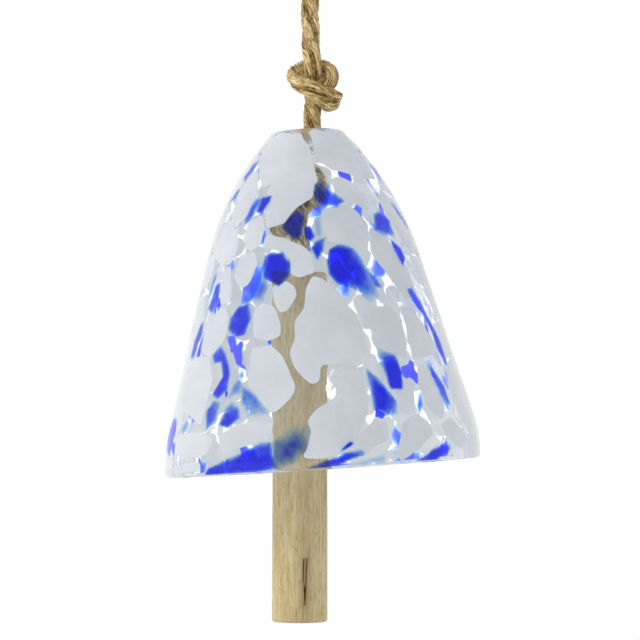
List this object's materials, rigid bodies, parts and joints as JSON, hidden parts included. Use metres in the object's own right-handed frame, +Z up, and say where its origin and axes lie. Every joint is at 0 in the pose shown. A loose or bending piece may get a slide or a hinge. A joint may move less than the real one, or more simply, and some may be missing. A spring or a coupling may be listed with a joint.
{
  "type": "hanging glass bell",
  "caption": "Blown glass bell with opal white and cobalt blue flecks, hung on a knotted jute rope, with a round wooden dowel as its clapper.",
  "frame": {"origin": "where a hook bears inside the hanging loop, at the loop's inner top", "axes": "+Z up along the hanging rope, +X to the right seen from the front, +Y towards the back"},
  "size_m": [0.12, 0.12, 0.318],
  "materials": {
    "blown_glass": "clear blown glass cased over opal white and cobalt blue patches, fire polished",
    "jute_rope": "natural laid jute, hairy and dry",
    "dowel_wood": "plain sanded dowel with fine grain along its length and a short drying crack"
  },
  "bodies": {
    "hanger": {"hanging_loop": "jute_rope", "loop_knot": "jute_rope"},
    "rope_link": {"upper_rope": "jute_rope"},
    "rope": {"main_rope": "jute_rope", "upper_knot": "jute_rope", "neck_rope": "jute_rope", "inner_knot": "jute_rope"},
    "bell": {"glass_bell": "blown_glass"},
    "clapper_swivel": {"clapper_link": "jute_rope"},
    "clapper": {"clapper_cord": "jute_rope", "wooden_clapper": "dowel_wood"}
  },
  "joints": [
    {"name": "rope_swing_sideways", "type": "hinge", "parent": "hanger", "child": "rope_link", "pos_m": [0, 0, -0.074], "axis": [0, 1, 0], "range_deg": [-45, 45]},
    {"name": "rope_swing_forwards", "type": "hinge", "parent": "rope_link", "child": "rope", "pos_m": [0, 0, -0.088], "axis": [1, 0, 0], "range_deg": [-45, 45]},
    {"name": "bell_turn", "type": "hinge", "parent": "rope", "child": "bell", "pos_m": [-0.0022, 0, -0.125], "axis": [-0.0489, 0, 0.9988], "continuous": true},
    {"name": "clapper_turn", "type": "hinge", "parent": "rope", "child": "clapper_swivel", "pos_m": [-0.00475, 0, -0.17], "axis": [0, 0, 1], "continuous": true},
    {"name": "clapper_swing", "type": "hinge", "parent": "clapper_swivel", "child": "clapper", "pos_m": [-0.00475, 0, -0.175], "axis": [0, 1, 0], "range_deg": [-23.5, 23.5]}
  ]
}
